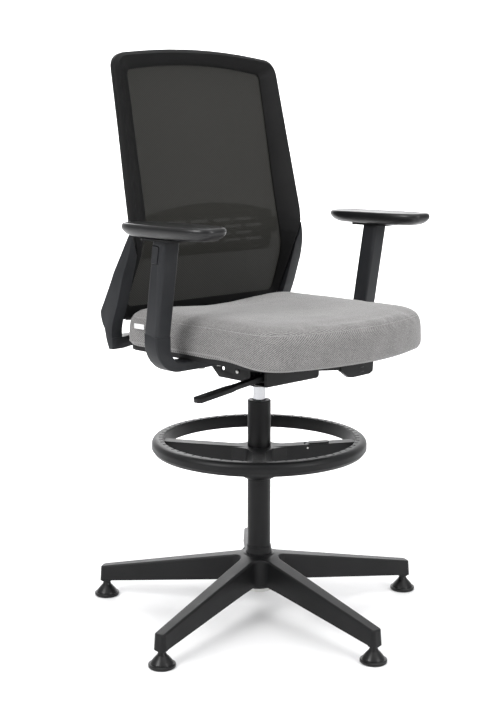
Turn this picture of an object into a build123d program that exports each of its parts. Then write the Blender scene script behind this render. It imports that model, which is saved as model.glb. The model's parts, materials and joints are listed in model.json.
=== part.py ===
from build123d import *
import os
from math import atan, cos, degrees, hypot, radians, sin

os.makedirs("parts", exist_ok=True)

# A drafting chair. Origin on the floor under the column's axis, +Z up, the sitter faces -Y, +X is the
# sitter's left. Millimetres and degrees.

# ---- clearances ---------------------------------------------------------------------------------
running = 0.05          # radial clearance of a shaft or a sliding guide
soft_gap = 0.6          # air between a cushion or a moving cover and its neighbours
slide_gap = 0.3         # air between an arm's post and its sleeve
mesh_grip = 3.0         # how far the mesh is held inside the frame's groove

# ---- base ---------------------------------------------------------------------------------------
leg_count = 5
leg_turn = -95.2        # heading of the first leg
glide_circle = 356.3    # radius at which the glides stand
leg_overhang = 13.0     # leg past the glide's centre
leg_root_width = 50.0
leg_tip_width = 29.0
leg_tip_bottom = 36.0
leg_tip_height = 33.0
leg_rise = 62.0         # rise of a leg's top from its tip to the hub
leg_belly = 32.0        # rise of a leg's underside from its tip to the hub
leg_wall = 4.0
leg_draft = 4.0
hub_top = 133.0
hub_bottom = 60.0
hub_skirt_radius = 34.0
leg_inner = 92.0        # radius at which the legs leave the hub
rib_thickness = 3.0
pocket_count = 3
glide_radius = 27.4
glide_neck = 10.0
glide_rim = 6.0
glide_stem_radius = 5.5
glide_stem_grip = 20.0

# ---- column -------------------------------------------------------------------------------------
column_radius = 25.0
column_wall = 2.0
column_foot = 52.0      # underside of the tube's closed end
column_floor = 4.0
ferrule_wall = 2.5
ferrule_bottom = 50.5
skirt_height = 17.0
skirt_flare = 3.0
cylinder_radius = 14.0
cylinder_wall = 2.0
rod_radius = 5.0
stroke_down = 20.0
bush_length = 62.0
bush_cap = 4.0
race_radius = 16.0
race_thickness = 2.0
ball_radius = 2.0
ball_count = 12
clip_thickness = 1.2
rod_guide_length = 24.0
piston_length = 12.0
pin_radius = 4.0

# ---- foot ring ----------------------------------------------------------------------------------
ring_radius = 230.7
ring_width = 25.7
ring_top = 392.6
ring_height = 28.0
ring_notches = 60
spoke_width = 28.0
spoke_dip = 12.0        # fall of a spoke's top edge from the rim to the hub
spoke_bottom = 345.0
ring_hub_radius = 34.0
ring_hub_bottom = 323.0
clamp_radius = 44.0
clamp_height = 20.0
trigger_start = 98.0    # radius at which the ring's release lever begins
trigger_length = 50.0
trigger_width = 20.0
trigger_depth = 14.0

# ---- seat ---------------------------------------------------------------------------------------
seat_bottom = 598.0
seat_thickness = 80.0
seat_half_width = 252.0
seat_front_half_width = 244.0
seat_rear = 176.0
seat_front = -318.0
seat_front_side = -262.0
seat_rear_corner = 60.0
seat_front_corner = 80.0
board_inset = 14.0
board_thickness = 10.0
board_proud = 4.0       # board below the cushion's lower edge
plate_thickness = 4.0
plate_half_width = 95.0
plate_front = -110.0
plate_rear = 84.0

# ---- mechanism ----------------------------------------------------------------------------------
housing_half_width = 90.0
housing_wall = 3.0
housing_floor = seat_bottom - 67
housing_front = -64.0
housing_floor_rear = 30.0
cover_half_width = 82.0
cover_front = -100.0
cover_bottom = seat_bottom - 75
cover_top = seat_bottom - 30
cover_wall = 4.0
column_top = seat_bottom - 124      # top of the column's bush cap
boss_bottom = seat_bottom - 93
cylinder_top = seat_bottom - 38
seat_axle_y = -50.0
seat_axle_z = seat_bottom - 26
recline_axle_y = 45.0
recline_axle_z = seat_bottom - 38
axle_radius = 5.0
lever_y = -82.0
lever_width = 24.0
lever_thickness = 10.0
lever_tip = 258.0
lever_paddle_length = 92.0
flag_thickness = 10.0      # upright flag at the end of the locking lever
flag_top = seat_bottom - 62
lever_drop = 6.5        # slope of a lever from its shaft to its tip
lever_shaft_x = 60.0
lever_shaft_z = seat_bottom - 54
lever_shaft_radius = 4.0
spring_x = 38.0
spring_radius = 12.0
spring_wire = 2.2

# ---- arms ---------------------------------------------------------------------------------------
arm_centre_x = 305.0
arm_section = 38.0
arm_lean = 9.1          # forward lean of the telescopic post
arm_foot_y = -27.0
arm_shoulder = seat_bottom + 52     # where the sleeve meets the arm bracket
sleeve_length = 190.0
sleeve_wall = 3.7
post_length = 148.0
bar_thickness = 20.0
bar_inner = 108.0       # inner end of the arm's bar under the seat
arm_bend = 62.0
arm_bolts_x = (140.0, 190.0)
button_width = 17.0
button_height = 34.0
button_travel = 1.5
pad_length = 255.0
pad_width = 90.0
pad_thickness = 27.0
pad_offset_y = -14.0    # pad's centre from the top of the post
pad_offset_x = -3.0
pad_corner = 42.0
pad_plate_thickness = 4.0

# ---- back ---------------------------------------------------------------------------------------
mesh_thickness = 2.0
bezel_setback = 8.0     # from the frame's crease to its outer edge
bezel_depth = 22.0      # from the crease to the frame's rear face
mesh_ledge = 6.0        # frame behind the mesh's edge
carrier_inner = 234.0
carrier_width = 28.0
yoke_top = seat_bottom - 9
yoke_thickness = 24.0
lug_half_width = 56.0
crossbar_front = seat_rear + 10        # crossbar of the carrier, behind the cushion
crossbar_depth = 20.0
crossbar_bottom = seat_bottom - 6
crossbar_height = 24.0
lumbar_half_width = 186.0
lumbar_thickness = 4.0
lumbar_slots = 5
lumbar_rows = 4


def save(piece, name):
    """Label a finished piece and write it."""
    piece.part.label = name
    export_step(piece.part, f"parts/{name}.step")


def polar(radius, heading):
    """Point at a radius and heading on the floor plan."""
    return radius * cos(radians(heading)), radius * sin(radians(heading))


# =================================================================================================
# Base
# =================================================================================================
leg_reach = glide_circle + leg_overhang
leg_headings = [leg_turn + 360 / leg_count * i for i in range(leg_count)]
leg_tip_top = leg_tip_bottom + leg_tip_height
ferrule_radius = column_radius + ferrule_wall


def leg_width(radius):
    """Width of a leg's foot print at a radius."""
    return leg_root_width + (leg_tip_width - leg_root_width) * radius / leg_reach


with BuildPart() as leg_pockets:
    with BuildSketch(Plane.XY) as pocket_plan:
        pocket_start = leg_inner - 20
        pocket_end = glide_circle - glide_radius
        pitch = (pocket_end - pocket_start) / pocket_count
        with PolarLocations(0, leg_count, start_angle=leg_turn):
            for i in range(pocket_count):
                r0 = pocket_start + pitch * i + rib_thickness / 2
                r1 = r0 + pitch - rib_thickness
                w0 = leg_width(r0) / 2 - 2 * leg_wall
                w1 = leg_width(r1) / 2 - 2 * leg_wall
                Polygon((r0, -w0), (r1, -w1), (r1, w1), (r0, w0), align=None)
    extrude(amount=hub_top)
    with BuildSketch(Plane.XZ):
        with BuildLine():
            Polyline(
                (0, 0),
                (leg_reach, 0),
                (leg_reach, leg_tip_top - leg_wall),
                (hub_skirt_radius, leg_tip_top + leg_rise - leg_wall),
                (0, leg_tip_top + leg_rise - leg_wall),
                close=True,
            )
        make_face()
    revolve(axis=Axis.Z, mode=Mode.INTERSECT)

with BuildPart() as base_star:
    with BuildSketch(Plane.XY.offset(leg_tip_bottom)) as star_plan:
        with PolarLocations(0, leg_count, start_angle=leg_turn):
            Polygon(
                (0, -leg_root_width / 2),
                (leg_reach, -leg_tip_width / 2),
                (leg_reach, leg_tip_width / 2),
                (0, leg_root_width / 2),
                align=None,
            )
        corners = star_plan.vertices()
        fillet(corners.filter_by(lambda v: hypot(v.X, v.Y) > leg_inner), leg_tip_width / 3)
        corners = star_plan.vertices()
        fillet(corners.filter_by(lambda v: hypot(v.X, v.Y) < leg_inner), leg_root_width / 3)
    extrude(amount=hub_top - leg_tip_bottom, taper=leg_draft)
    with BuildSketch(Plane.XZ):
        with BuildLine():
            Polyline(
                (0, hub_bottom),
                (hub_skirt_radius, hub_bottom),
                (hub_skirt_radius + 8, hub_bottom + 12),
                (leg_inner, leg_tip_bottom + leg_belly),
                (leg_reach + 1, leg_tip_bottom),
                (leg_reach + 1, leg_tip_top),
                (hub_skirt_radius, leg_tip_top + leg_rise),
                (hub_skirt_radius - 3, hub_top),
                (0, hub_top),
                close=True,
            )
        make_face()
    revolve(axis=Axis.Z, mode=Mode.INTERSECT)
    top_edges = base_star.edges().filter_by(
        lambda e: e.center().Z > leg_tip_top - 1
        and hypot(e.center().X, e.center().Y) > hub_skirt_radius + 3
        and abs(e.center().Z - leg_tip_top - leg_rise
                * (leg_reach - hypot(e.center().X, e.center().Y)) / (leg_reach - hub_skirt_radius)) < 6
    )
    fillet(top_edges, leg_wall)
    add(leg_pockets.part, mode=Mode.SUBTRACT)
    with BuildSketch(Plane.XY.offset(hub_bottom)):
        Circle(ferrule_radius)
    extrude(amount=hub_top, both=True, mode=Mode.SUBTRACT)
    with BuildSketch(Plane.XY):
        with PolarLocations(glide_circle, leg_count, start_angle=leg_turn):
            Circle(glide_stem_radius)
    extrude(amount=leg_tip_bottom + glide_stem_grip, mode=Mode.SUBTRACT)
save(base_star, "base_star")

with BuildPart() as hub_ferrule:
    with BuildSketch(Plane.XY.offset(ferrule_bottom)):
        Circle(ferrule_radius)
        Circle(column_radius, mode=Mode.SUBTRACT)
    extrude(amount=hub_top - ferrule_bottom - 1)
save(hub_ferrule, "hub_ferrule")

for i, heading in enumerate(leg_headings):
    gx, gy = polar(glide_circle, heading)
    with BuildPart() as glide:
        with BuildSketch(Plane(origin=(gx, gy, 0), x_dir=(1, 0, 0), z_dir=(0, -1, 0))):
            with BuildLine():
                Polyline(
                    (0, 0),
                    (glide_radius - 2, 0),
                    (glide_radius, 2),
                    (glide_radius, glide_rim),
                    (glide_radius - 2, glide_rim + 1.5),
                    (glide_radius - 4, glide_rim + 1.5),
                    (glide_radius - 5, glide_rim + 4),
                )
                ThreePointArc(
                    (glide_radius - 5, glide_rim + 4),
                    (glide_radius - 11, glide_rim + 12),
                    (glide_neck, leg_tip_bottom - 11),
                )
                Polyline(
                    (glide_neck, leg_tip_bottom - 11),
                    (glide_neck - 2, leg_tip_bottom - 6),
                    (glide_neck - 2, leg_tip_bottom - 3),
                    (glide_neck + 2, leg_tip_bottom - 2),
                    (glide_neck + 2, leg_tip_bottom),
                    (glide_stem_radius, leg_tip_bottom),
                    (glide_stem_radius, glide_rim + 3),
                    (0, glide_rim + 3),
                    (0, 0),
                )
            make_face()
        revolve(axis=Axis((gx, gy, 0), (0, 0, 1)))
    save(glide, f"glide_{i + 1}")

with BuildPart() as glide_stems:
    with BuildSketch(Plane.XY.offset(glide_rim + 3)):
        with PolarLocations(glide_circle, leg_count, start_angle=leg_turn):
            Circle(glide_stem_radius)
    extrude(amount=leg_tip_bottom + glide_stem_grip - glide_rim - 3)
save(glide_stems, "glide_stems")

# =================================================================================================
# Column and gas lift
# =================================================================================================
column_bore = column_radius - column_wall
race_floor = column_foot + column_floor
ball_height = race_floor + race_thickness + ball_radius - 0.5
cylinder_bottom = 150.0
rod_top = column_top - bush_length / 2

with BuildPart() as column_tube:
    with BuildSketch(Plane.XY.offset(column_foot)):
        Circle(column_radius)
    extrude(amount=column_top - bush_cap - column_foot)
    with BuildSketch(Plane.XY.offset(race_floor)):
        Circle(column_bore)
    extrude(amount=column_top, mode=Mode.SUBTRACT)
    with BuildSketch(Plane.XY.offset(column_foot)):
        Circle(rod_radius + 1)
    extrude(amount=column_floor, mode=Mode.SUBTRACT)
save(column_tube, "column_tube")

with BuildPart() as column_skirt:
    with BuildSketch(Plane.XZ):
        with BuildLine():
            Polyline(
                (column_radius, hub_top),
                (column_radius + skirt_flare, hub_top),
                (column_radius + skirt_flare, hub_top + 3),
                (column_radius + 1.2, hub_top + skirt_height),
                (column_radius, hub_top + skirt_height),
                close=True,
            )
        make_face()
    revolve(axis=Axis.Z)
save(column_skirt, "column_skirt")

with BuildPart() as guide_bush:
    with BuildSketch(Plane.XZ):
        with BuildLine():
            Polyline(
                (cylinder_radius + running, column_top - bush_length),
                (column_bore, column_top - bush_length),
                (column_bore, column_top - bush_cap),
                (column_radius, column_top - bush_cap),
                (column_radius, column_top - 1.5),
                (column_radius - 1.5, column_top),
                (cylinder_radius + 1.5, column_top),
                (cylinder_radius + running, column_top - 1.5),
                close=True,
            )
        make_face()
    revolve(axis=Axis.Z)
save(guide_bush, "guide_bush")

with BuildPart() as lower_race:
    with BuildSketch(Plane.XY.offset(race_floor)):
        Circle(race_radius)
        Circle(rod_radius + 1, mode=Mode.SUBTRACT)
    extrude(amount=race_thickness)
    with PolarLocations(race_radius - 2 * ball_radius - 1, ball_count):
        with Locations((0, 0, ball_height)):
            Sphere(ball_radius, mode=Mode.SUBTRACT)
save(lower_race, "lower_race")

with BuildPart() as bearing_balls:
    with PolarLocations(race_radius - 2 * ball_radius - 1, ball_count):
        with Locations((0, 0, ball_height)):
            Sphere(ball_radius)
save(bearing_balls, "bearing_balls")

with BuildPart() as upper_race:
    with BuildSketch(Plane.XY.offset(ball_height + ball_radius + running)):
        Circle(race_radius)
        Circle(rod_radius, mode=Mode.SUBTRACT)
    extrude(amount=race_thickness)
save(upper_race, "upper_race")

with BuildPart() as piston_rod:
    with BuildSketch(Plane.XY.offset(column_foot - clip_thickness - 2)):
        Circle(rod_radius)
    extrude(amount=rod_top - column_foot + clip_thickness + 2)
save(piston_rod, "piston_rod")

with BuildPart() as rod_clip:
    with BuildSketch(Plane.XY.offset(column_foot - clip_thickness - running)):
        Circle(2 * rod_radius)
        Circle(rod_radius, mode=Mode.SUBTRACT)
        with Locations((1.5 * rod_radius, 0)):
            Rectangle(3 * rod_radius, rod_radius, mode=Mode.SUBTRACT)
    extrude(amount=clip_thickness)
save(rod_clip, "rod_clip")

with BuildPart() as piston:
    with BuildSketch(Plane.XY.offset(rod_top - piston_length)):
        Circle(cylinder_radius - cylinder_wall - running)
        Circle(rod_radius, mode=Mode.SUBTRACT)
    extrude(amount=piston_length)
save(piston, "piston")

with BuildPart() as gas_cylinder:
    with BuildSketch(Plane.XY.offset(cylinder_bottom)):
        Circle(cylinder_radius)
    extrude(amount=cylinder_top - cylinder_bottom)
    with BuildSketch(Plane.XY.offset(cylinder_bottom)):
        Circle(cylinder_radius - cylinder_wall)
    extrude(amount=cylinder_top - cylinder_bottom - 20, mode=Mode.SUBTRACT)
    with BuildSketch(Plane.XY.offset(cylinder_top)):
        Circle(pin_radius + running)
    extrude(amount=-20, mode=Mode.SUBTRACT)
save(gas_cylinder, "gas_cylinder")

with BuildPart() as rod_guide:
    with BuildSketch(Plane.XY.offset(cylinder_bottom)):
        Circle(cylinder_radius - cylinder_wall)
        Circle(rod_radius + running, mode=Mode.SUBTRACT)
    extrude(amount=rod_guide_length)
save(rod_guide, "rod_guide")

tab_bottom = lever_shaft_z + 2 * lever_shaft_radius + 14
with BuildPart() as valve_pin:
    with BuildSketch(Plane.XY.offset(cylinder_top - 14)):
        Circle(pin_radius)
    extrude(amount=tab_bottom - running - cylinder_top + 14)
save(valve_pin, "valve_pin")

# =================================================================================================
# Foot ring
# =================================================================================================
ring_inner = ring_radius - ring_width
ring_bottom = ring_top - ring_height
spoke_headings = (-45, 45, 135, 225)
trigger_heading = -45
trigger_middle = trigger_start + trigger_length / 2
spoke_rim_top = ring_top - 8


def spoke_top(radius):
    """Height of a spoke's top edge at a radius."""
    return spoke_rim_top - spoke_dip * (ring_inner - radius) / (ring_inner - column_radius)


with BuildPart() as foot_ring:
    with BuildSketch(Plane.XZ):
        with BuildLine():
            Polyline(
                (ring_inner, ring_bottom),
                (ring_radius - 5, ring_bottom),
                (ring_radius, ring_bottom + 7),
                (ring_radius, ring_top - 12),
            )
            ThreePointArc(
                (ring_radius, ring_top - 12),
                (ring_radius - 3.5, ring_top - 3.5),
                (ring_radius - 12, ring_top),
            )
            Polyline(
                (ring_radius - 12, ring_top),
                (ring_inner + 3, ring_top),
                (ring_inner, ring_top - 3),
                (ring_inner, ring_bottom),
            )
        make_face()
    revolve(axis=Axis.Z)
    with BuildSketch(Plane.XY.offset(ring_top)):
        with PolarLocations(ring_inner + 6, ring_notches):
            Rectangle(9, 4)
    extrude(amount=-1.2, mode=Mode.SUBTRACT)
    for heading in spoke_headings:
        sx, sy = polar(1, heading)
        with BuildSketch(Plane(origin=(0, 0, 0), x_dir=(sx, sy, 0), z_dir=(sy, -sx, 0))):
            with BuildLine():
                Polyline(
                    (column_radius, spoke_bottom - 14),
                    (ring_inner + 4, ring_bottom),
                    (ring_inner + 4, spoke_rim_top),
                    (column_radius, spoke_rim_top - spoke_dip),
                    close=True,
                )
            make_face()
        extrude(amount=spoke_width / 2, both=True)
        # the spoke's root widens into the hub
        with BuildSketch(Plane(origin=(0, 0, spoke_bottom), x_dir=(sx, sy, 0), z_dir=(0, 0, 1))):
            Polygon(
                (column_radius - 4, -ring_hub_radius + 3),
                (ring_hub_radius + 26, -spoke_width / 2),
                (ring_hub_radius + 26, spoke_width / 2),
                (column_radius - 4, ring_hub_radius - 3),
                align=None,
            )
        extrude(amount=spoke_rim_top - spoke_dip - spoke_bottom)
    with BuildSketch(Plane.XY.offset(ring_hub_bottom)):
        Circle(ring_hub_radius)
    extrude(amount=spoke_rim_top - spoke_dip - ring_hub_bottom)
    with BuildSketch(Plane.XY.offset(ring_hub_bottom)):
        Circle(column_radius + running)
    extrude(amount=ring_height * 4, mode=Mode.SUBTRACT)
    # the slot that the release lever sits in, and the hole of its pin
    tx, ty = polar(trigger_middle, trigger_heading)
    trigger_plane = Plane(origin=(tx, ty, ring_top), x_dir=polar(1, trigger_heading) + (0,), z_dir=(0, 0, 1))
    with BuildSketch(trigger_plane):
        Rectangle(trigger_length + 2 * soft_gap + 2, trigger_width + 2 * soft_gap)
    extrude(amount=-(ring_top - spoke_top(trigger_start) + trigger_depth + 6), mode=Mode.SUBTRACT)
    px, py = polar(trigger_start + 6, trigger_heading)
    pin_height = spoke_top(trigger_start) - trigger_depth / 2
    pin_axis = (sin(radians(45)), cos(radians(45)), 0)
    pin_plane = Plane(origin=(px, py, pin_height), x_dir=(0, 0, 1), z_dir=pin_axis)
    with BuildSketch(pin_plane):
        Circle(2)
    extrude(amount=spoke_width / 2, both=True, mode=Mode.SUBTRACT)
save(foot_ring, "foot_ring")

with BuildPart() as ring_clamp:
    with BuildSketch(Plane.XZ):
        with BuildLine():
            Line((column_radius + running, ring_hub_bottom - clamp_height), (column_radius + 6, ring_hub_bottom - clamp_height))
            ThreePointArc(
                (column_radius + 6, ring_hub_bottom - clamp_height),
                (clamp_radius - 4, ring_hub_bottom - clamp_height + 6),
                (clamp_radius, ring_hub_bottom - clamp_height + 12),
            )
            Polyline(
                (clamp_radius, ring_hub_bottom - clamp_height + 12),
                (clamp_radius, ring_hub_bottom),
                (column_radius + running, ring_hub_bottom),
                (column_radius + running, ring_hub_bottom - clamp_height),
            )
        make_face()
    revolve(axis=Axis.Z)
save(ring_clamp, "ring_clamp")

with BuildPart() as ring_lever:
    with BuildSketch(Plane(origin=(0, 0, 0), x_dir=polar(1, trigger_heading) + (0,),
                           z_dir=(sin(radians(trigger_heading)), -cos(radians(trigger_heading)), 0))):
        with BuildLine():
            Polyline(
                (trigger_start, pin_height - 6),
                (trigger_start + trigger_length - 8, pin_height - 6),
                (trigger_start + trigger_length, pin_height + 4),
                (trigger_start + trigger_length, spoke_top(trigger_start + trigger_length) + 2),
                (trigger_start + 10, spoke_top(trigger_start + 10) + 2),
                (trigger_start, pin_height + 4),
                close=True,
            )
        make_face()
    extrude(amount=trigger_width / 2, both=True)
    fillet(ring_lever.edges().group_by(Axis.Z)[-1], 1)
    with BuildSketch(pin_plane):
        Circle(2 + running)
    extrude(amount=trigger_width, both=True, mode=Mode.SUBTRACT)
save(ring_lever, "ring_lever")

with BuildPart() as ring_lever_pin:
    with BuildSketch(pin_plane):
        Circle(2)
    extrude(amount=spoke_width / 2 - 1, both=True)
save(ring_lever_pin, "ring_lever_pin")

# =================================================================================================
# Mechanism
# =================================================================================================
seat_axle = Plane(origin=(0, seat_axle_y, seat_axle_z), x_dir=(0, 1, 0), z_dir=(1, 0, 0))
recline_axle_plane = Plane(origin=(0, recline_axle_y, recline_axle_z), x_dir=(0, 1, 0), z_dir=(1, 0, 0))
housing_rim = seat_bottom - 10
housing_inner = housing_half_width - housing_wall


with BuildPart() as mech_housing:
    for side in (-1, 1):
        with BuildSketch(Plane.YZ.offset(side * (housing_half_width - housing_wall / 2))):
            with BuildLine():
                Polyline(
                    (housing_front, housing_rim),
                    (housing_front, housing_floor),
                    (housing_floor_rear, housing_floor),
                    (recline_axle_y + 18, recline_axle_z),
                    (recline_axle_y + 18, recline_axle_z + 12),
                    (recline_axle_y - 20, recline_axle_z + 20),
                    (housing_front + 30, housing_rim),
                    close=True,
                )
            make_face()
        extrude(amount=housing_wall / 2, both=True)
    with BuildSketch(Plane.XY.offset(housing_floor)):
        with Locations((0, (housing_front + housing_floor_rear) / 2)):
            Rectangle(2 * housing_half_width, housing_floor_rear - housing_front)
    extrude(amount=housing_wall)
    with BuildSketch(Plane.XZ.offset(-housing_front)):
        with Locations((0, (housing_floor + seat_axle_z - 12) / 2)):
            Rectangle(2 * housing_half_width, seat_axle_z - 12 - housing_floor)
    extrude(amount=-housing_wall)
    with BuildSketch(Plane.XY.offset(boss_bottom)) as boss_foot:
        Circle(cylinder_radius + 8)
    extrude(amount=cylinder_top - 4 - boss_bottom, taper=-2)
    with BuildSketch(Plane.XY.offset(boss_bottom)):
        Circle(cylinder_radius)
    extrude(amount=cylinder_top - boss_bottom, mode=Mode.SUBTRACT)
    # pillow blocks that hold the inner ends of the two lever shafts
    for side in (-1, 1):
        with BuildSketch(Plane.XZ.offset(-housing_floor_rear)):
            with Locations((side * lever_shaft_x, (housing_floor + lever_shaft_z + 8) / 2)):
                Rectangle(18, lever_shaft_z + 8 - housing_floor)
        extrude(amount=8)
    with BuildSketch(Plane.XZ):
        with Locations((-lever_shaft_x, lever_shaft_z), (lever_shaft_x, lever_shaft_z)):
            Circle(lever_shaft_radius + running)
    extrude(amount=-cover_front, both=True, mode=Mode.SUBTRACT)
    with BuildSketch(seat_axle):
        Circle(axle_radius)
    extrude(amount=housing_half_width, both=True, mode=Mode.SUBTRACT)
    with BuildSketch(recline_axle_plane):
        Circle(axle_radius)
    extrude(amount=housing_half_width, both=True, mode=Mode.SUBTRACT)
    # an open hole in each side plate
    with BuildSketch(Plane.YZ.offset(-housing_half_width)):
        with Locations((recline_axle_y - 28, recline_axle_z - 9)):
            Circle(4.5)
    extrude(amount=housing_wall, mode=Mode.SUBTRACT)
save(mech_housing, "mech_housing")

with BuildPart() as front_cover:
    with BuildSketch(Plane.XY.offset(cover_bottom)):
        with Locations((0, (cover_front + housing_front) / 2)):
            Rectangle(2 * cover_half_width, housing_front - cover_front)
    extrude(amount=cover_top - cover_bottom)
    fillet(front_cover.edges().filter_by(Axis.Y).group_by(Axis.Z)[0], 9)
    fillet(front_cover.faces().sort_by(Axis.Y)[0].edges(), 5)
    with BuildSketch(Plane.XY.offset(cover_bottom + cover_wall)):
        with Locations((0, (cover_front + housing_front + cover_wall) / 2)):
            Rectangle(2 * (cover_half_width - cover_wall), housing_front - cover_front - cover_wall)
    extrude(amount=cover_top, mode=Mode.SUBTRACT)
    # openings for the two levers
    with BuildSketch(Plane.YZ.offset(-cover_half_width)):
        with Locations((lever_y, cover_top)):
            Rectangle(lever_width + 4, 2 * (cover_top - lever_shaft_z + lever_thickness + 8))
    extrude(amount=2 * cover_half_width, mode=Mode.SUBTRACT)
save(front_cover, "front_cover")

for plane, name in ((seat_axle, "seat_axle"), (recline_axle_plane, "recline_axle")):
    with BuildPart() as axle:
        with BuildSketch(plane.offset(-housing_half_width - 2)):
            Circle(axle_radius)
        extrude(amount=2 * housing_half_width + 4)
    save(axle, name)

spring_start = housing_front + housing_wall + 8
spring_end = housing_floor_rear - 10
with BuildPart() as tilt_spring:
    spring_pitch = (spring_end - spring_start) / 8
    spring_line = Helix(spring_pitch, spring_end - spring_start, spring_radius,
                        center=(spring_x, spring_start, lever_shaft_z + 8), direction=(0, 1, 0))
    with BuildSketch(Plane(origin=spring_line @ 0, z_dir=spring_line % 0)):
        Circle(spring_wire)
    sweep(path=spring_line)
save(tilt_spring, "tilt_spring")

with BuildPart() as spring_seat:
    spring_plane = Plane(origin=(spring_x, housing_front + housing_wall, lever_shaft_z + 8), z_dir=(0, 1, 0))
    with BuildSketch(spring_plane):
        Circle(spring_radius + 2 * spring_wire)
    extrude(amount=8 - spring_wire)
save(spring_seat, "spring_seat")


lever_run = lever_tip - lever_shaft_x
for side, name in ((-1, "height_lever"), (1, "lock_lever")):
    top_plane = Plane(
        origin=(side * lever_shaft_x, lever_y, lever_shaft_z),
        x_dir=(side * cos(radians(lever_drop)), 0, -sin(radians(lever_drop))),
        z_dir=(side * sin(radians(lever_drop)), 0, cos(radians(lever_drop))),
    )
    stem_half = lever_width / 2 - 4
    with BuildPart() as lever:
        with BuildSketch(top_plane.offset(-lever_thickness / 2)):
            with BuildLine():
                if side < 0:
                    Polyline(
                        (-8, -stem_half),
                        (lever_run - lever_paddle_length - 12, -stem_half),
                        (lever_run - lever_paddle_length, -lever_width / 2),
                        (lever_run - 5, -lever_width / 2),
                        (lever_run, -lever_width / 2 + 7),
                        (lever_run, lever_width / 2 - 7),
                        (lever_run - 5, lever_width / 2),
                        (lever_run - lever_paddle_length, lever_width / 2),
                        (lever_run - lever_paddle_length - 12, stem_half),
                        (-8, stem_half),
                        close=True,
                    )
                else:
                    Polyline(
                        (-8, -stem_half),
                        (lever_run - 40, -stem_half),
                        (lever_run - 40, stem_half),
                        (-8, stem_half),
                        close=True,
                    )
            make_face()
        extrude(amount=lever_thickness)
        top_edges = lever.edges().group_by(Axis.Z)[-1]
        if side < 0:
            fillet(top_edges + lever.edges().group_by(Axis.X)[0], 1.5)
        else:
            # the locking lever ends in a flag that faces the front
            with BuildSketch(Plane.XZ.offset(-lever_y + lever_width / 2)):
                with BuildLine():
                    Polyline(
                        (lever_tip - 102, flag_top),
                        (lever_tip - 100, flag_top - 10),
                        (lever_tip - 75, flag_top - 27),
                        (lever_tip - 62, flag_top - 29),
                        (lever_tip - 5, flag_top - 28),
                        (lever_tip + 6, flag_top - 23),
                        (lever_tip + 8, flag_top),
                        close=True,
                    )
                make_face()
            extrude(amount=-flag_thickness)
            fillet(lever.faces().sort_by(Axis.Y)[0].edges(), 1.5)
        with BuildSketch(Plane.XZ.offset(-lever_y)):
            with Locations((side * lever_shaft_x, lever_shaft_z)):
                Circle(lever_shaft_radius)
        extrude(amount=lever_width, both=True, mode=Mode.SUBTRACT)
    save(lever, name)
    with BuildPart() as shaft:
        with BuildSketch(Plane.XZ.offset(-lever_y + lever_width / 2 - 4)):
            with Locations((side * lever_shaft_x, lever_shaft_z)):
                Circle(lever_shaft_radius)
        extrude(amount=-(housing_floor_rear + 1 - lever_y + lever_width / 2 - 4))
    save(shaft, f"{name}_shaft")

with BuildPart() as valve_tab:
    with BuildSketch(Plane.XZ.offset(6)):
        with BuildLine():
            Polyline(
                (-lever_shaft_x - 7, lever_shaft_z - 7),
                (-lever_shaft_x + 7, lever_shaft_z - 7),
                (-lever_shaft_x + 7, tab_bottom),
                (pin_radius + 2, tab_bottom),
                (pin_radius + 2, tab_bottom + 3),
                (-lever_shaft_x - 7, tab_bottom + 3),
                close=True,
            )
        make_face()
    extrude(amount=-12)
    with BuildSketch(Plane.XZ):
        with Locations((-lever_shaft_x, lever_shaft_z)):
            Circle(lever_shaft_radius)
    extrude(amount=lever_width, both=True, mode=Mode.SUBTRACT)
save(valve_tab, "valve_tab")

# =================================================================================================
# Seat
# =================================================================================================
plate_top = seat_bottom - board_proud
plate_bottom = plate_top - plate_thickness


def cushion_outline(inset):
    """Plan of the seat: straight rear, bowed front, rounded corners, drawn in by an inset."""
    with BuildSketch() as outline:
        with BuildLine():
            Polyline(
                (-seat_front_half_width + inset, seat_front_side + inset),
                (-seat_half_width + inset, 0),
                (-seat_half_width + inset, seat_rear - inset),
                (seat_half_width - inset, seat_rear - inset),
                (seat_half_width - inset, 0),
                (seat_front_half_width - inset, seat_front_side + inset),
            )
            ThreePointArc(
                (seat_front_half_width - inset, seat_front_side + inset),
                (0, seat_front + inset),
                (-seat_front_half_width + inset, seat_front_side + inset),
            )
        make_face()
        fillet(outline.vertices().group_by(Axis.Y)[-1], seat_rear_corner - inset)
        fillet(outline.vertices().group_by(Axis.Y)[0], seat_front_corner - inset)
    return outline.sketch


with BuildPart() as seat_cushion:
    with BuildSketch(Plane.XY.offset(seat_bottom)):
        add(cushion_outline(0))
    extrude(amount=seat_thickness)
    fillet(seat_cushion.edges().group_by(Axis.Z)[-1], 20)
    fillet(seat_cushion.edges().group_by(Axis.Z)[0], 5)
    with BuildSketch(Plane.XY.offset(plate_top)):
        add(cushion_outline(board_inset))
    extrude(amount=board_thickness, mode=Mode.SUBTRACT)
save(seat_cushion, "seat_cushion")

screw_places = [(x, y) for x in (-80, 80) for y in (plate_front + 14, plate_rear - 10)]
bolt_places = [(side * x, arm_foot_y) for side in (-1, 1) for x in arm_bolts_x]
with BuildPart() as seat_board:
    with BuildSketch(Plane.XY.offset(plate_top)):
        add(cushion_outline(board_inset))
        with Locations(*screw_places):
            Circle(3, mode=Mode.SUBTRACT)
        with Locations(*bolt_places):
            Circle(4, mode=Mode.SUBTRACT)
    extrude(amount=board_thickness)
save(seat_board, "seat_board")

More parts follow.
